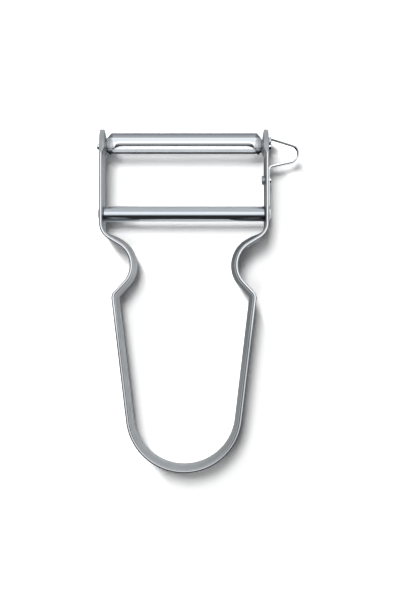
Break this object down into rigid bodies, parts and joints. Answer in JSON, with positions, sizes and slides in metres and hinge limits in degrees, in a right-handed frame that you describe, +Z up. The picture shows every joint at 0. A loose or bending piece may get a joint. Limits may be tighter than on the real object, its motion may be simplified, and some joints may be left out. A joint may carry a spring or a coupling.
{
  "type": "vegetable peeler",
  "caption": "All-steel swivel peeler: a bent strip handle with two arms that carry a slotted swivelling blade, with a round crossbar and a spring loop for taking out eyes.",
  "frame": {"origin": "under the middle of the handle's butt, on the surface that the peeler lies on", "axes": "+Y from the butt to the blade, along the peeler's length; +Z up, across the strip's width; +X towards the side with the loop"},
  "size_m": [0.0651, 0.1099, 0.011],
  "materials": {
    "frame_steel": "satin strip steel with polished edges",
    "bar_steel": "polished",
    "blade_steel": "polished and ground",
    "loop_steel": "bright spring strip",
    "rivet_steel": "satin"
  },
  "bodies": {
    "handle": {"frame": "frame_steel", "crossbar": "bar_steel", "eye_loop": "loop_steel", "loop_rivet": "rivet_steel"},
    "blade": {"blade": "blade_steel"}
  },
  "joints": [
    {"name": "blade_swivel", "type": "hinge", "parent": "handle", "child": "blade", "pos_m": [0, 0.1039, 0.0055], "axis": [1, 0, 0], "range_deg": [0, 50]}
  ]
}
